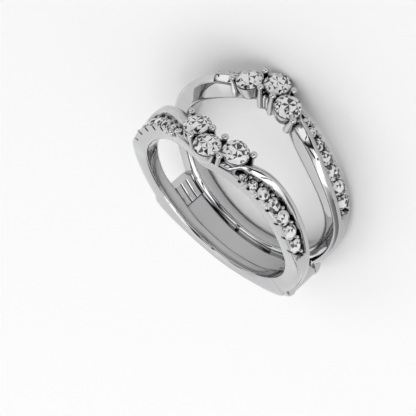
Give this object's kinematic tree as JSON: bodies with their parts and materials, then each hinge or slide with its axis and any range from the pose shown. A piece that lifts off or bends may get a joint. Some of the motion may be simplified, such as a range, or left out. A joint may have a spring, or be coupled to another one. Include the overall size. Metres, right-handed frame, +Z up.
{
  "type": "ring guard enhancer",
  "caption": "White metal ring guard: two contoured bands joined by a base, each with a cluster of prong-set round stones and rows of small stones down its arms.",
  "frame": {"origin": "centre of the finger hole, on its axis and midway between the two bands", "axes": "+X across the finger hole from one arm to the other, +Y from the base towards the main stones, +Z up from the surface that the ring lies on; the finger hole's axis leans from Z by the rest angle"},
  "size_m": [0.021, 0.0225, 0.012],
  "materials": {
    "white_gold": "polished",
    "clear_stone": "faceted and polished"
  },
  "bodies": {
    "root": {"mounting": "white_gold", "front_left_stone": "clear_stone", "front_middle_stone": "clear_stone", "front_right_stone": "clear_stone", "rear_left_stone": "clear_stone", "rear_middle_stone": "clear_stone", "rear_right_stone": "clear_stone", "front_left_pave_1": "clear_stone", "front_left_pave_2": "clear_stone", "front_left_pave_3": "clear_stone", "front_left_pave_4": "clear_stone", "front_left_pave_5": "clear_stone", "front_left_pave_6": "clear_stone", "front_left_pave_7": "clear_stone", "front_right_pave_1": "clear_stone", "front_right_pave_2": "clear_stone", "front_right_pave_3": "clear_stone", "front_right_pave_4": "clear_stone", "front_right_pave_5": "clear_stone", "front_right_pave_6": "clear_stone", "front_right_pave_7": "clear_stone", "rear_left_pave_1": "clear_stone", "rear_left_pave_2": "clear_stone", "rear_left_pave_3": "clear_stone", "rear_left_pave_4": "clear_stone", "rear_left_pave_5": "clear_stone", "rear_left_pave_6": "clear_stone", "rear_left_pave_7": "clear_stone", "rear_right_pave_1": "clear_stone", "rear_right_pave_2": "clear_stone", "rear_right_pave_3": "clear_stone", "rear_right_pave_4": "clear_stone", "rear_right_pave_5": "clear_stone", "rear_right_pave_6": "clear_stone", "rear_right_pave_7": "clear_stone"}
  },
  "joints": []
}
